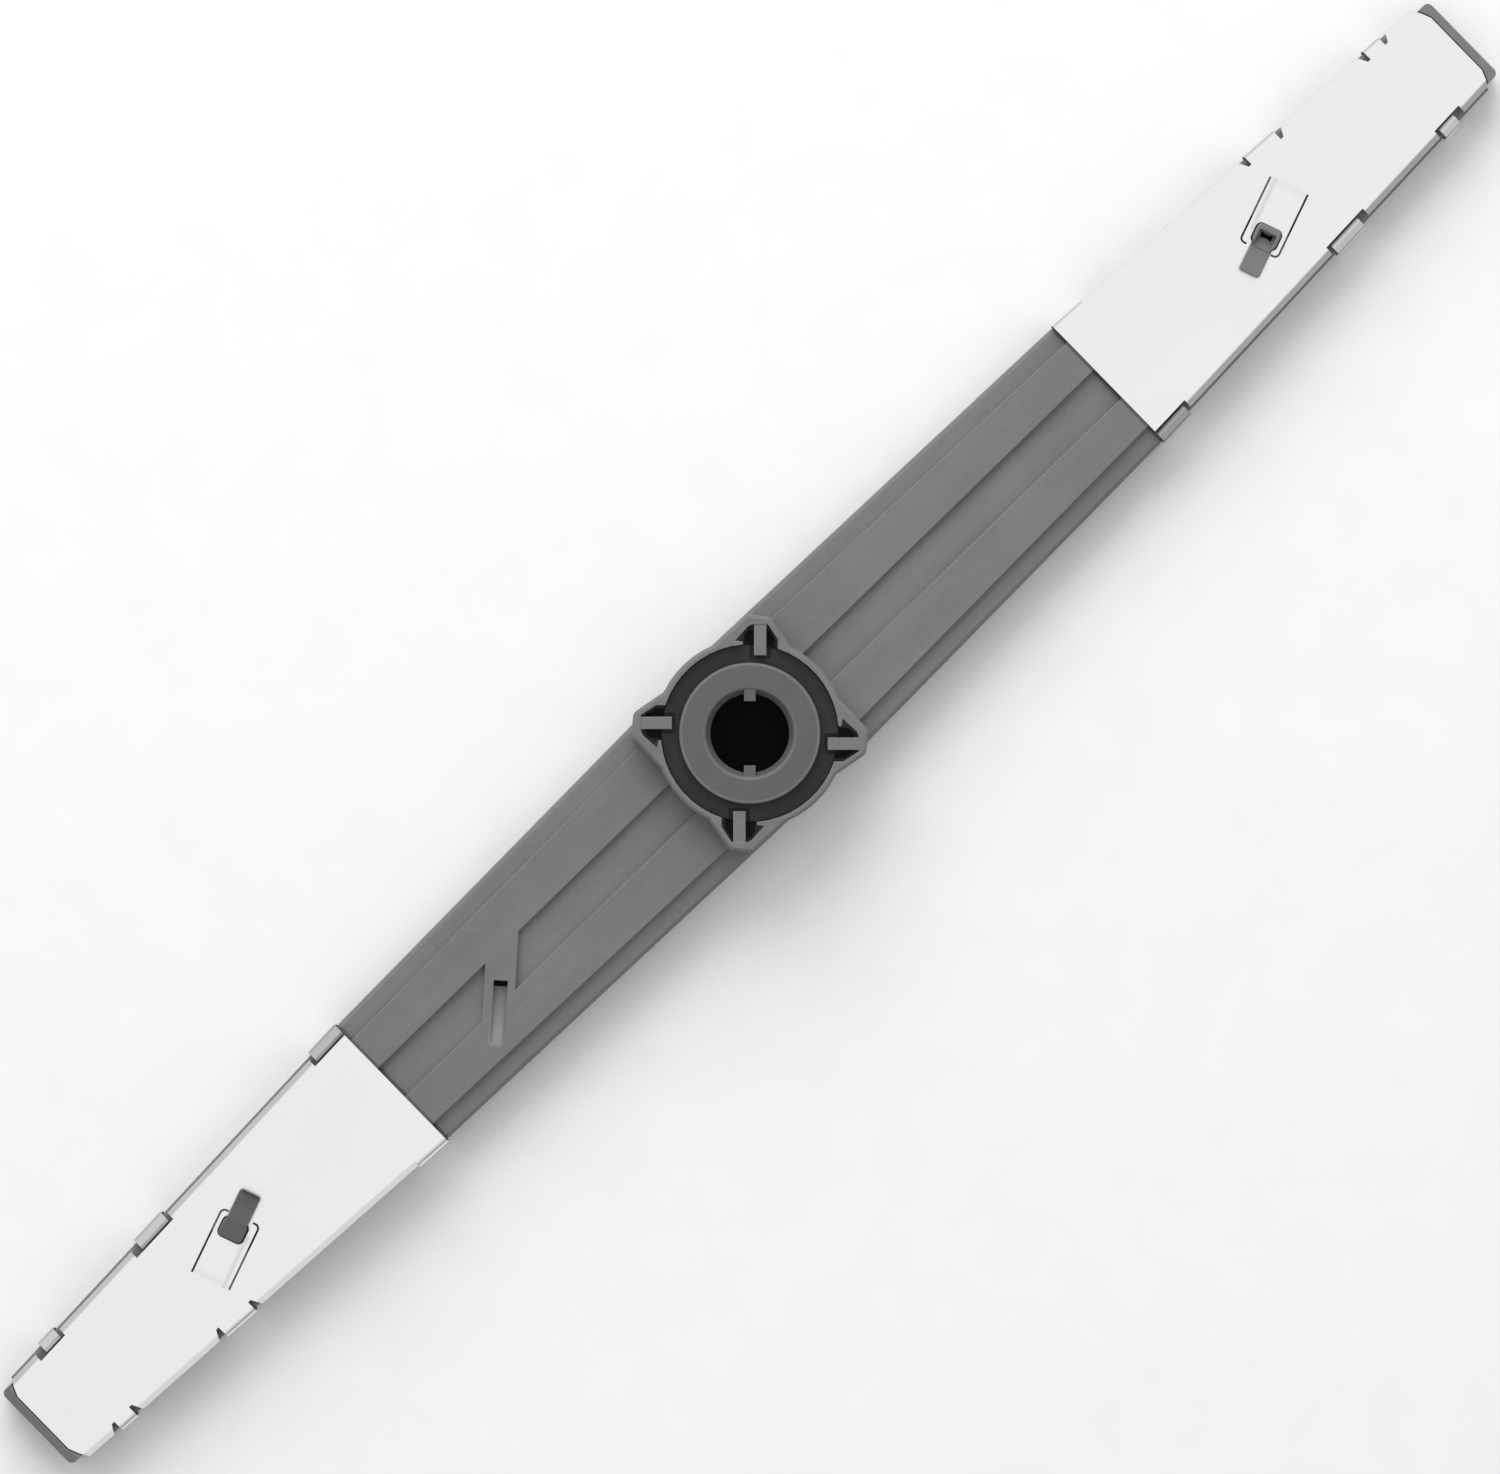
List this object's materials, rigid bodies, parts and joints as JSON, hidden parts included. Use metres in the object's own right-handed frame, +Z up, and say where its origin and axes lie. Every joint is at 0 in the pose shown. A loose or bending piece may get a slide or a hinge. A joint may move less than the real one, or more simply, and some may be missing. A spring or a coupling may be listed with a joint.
{
  "type": "dishwasher spray arm",
  "caption": "Lower rotary spray arm: hollow grey plastic arm with sheet steel sleeves on both ends, turning on a round hub bearing.",
  "frame": {"origin": "on the hub axis, in the plane of the spray nozzles' rims that the arm lies on", "axes": "+X along the arm towards the end with the open drive nozzle, +Z up the hub axis, away from the spray face"},
  "size_m": [0.52, 0.0496, 0.0272],
  "materials": {
    "arm_plastic": "moulded, fine matte",
    "collar_plastic": "moulded, smooth",
    "ring_plastic": "moulded, matte",
    "stainless_sheet": "bright annealed sheet"
  },
  "bodies": {
    "bearing": {"hub_bearing": "collar_plastic"},
    "arm": {"lower_shell": "arm_plastic", "upper_shell": "arm_plastic", "bearing_retainer": "ring_plastic", "right_sleeve": "stainless_sheet", "left_sleeve": "stainless_sheet"}
  },
  "joints": [
    {"name": "arm_spin", "type": "hinge", "parent": "bearing", "child": "arm", "pos_m": [0, 0, 0.0172], "axis": [0, 0, 1], "continuous": true}
  ]
}
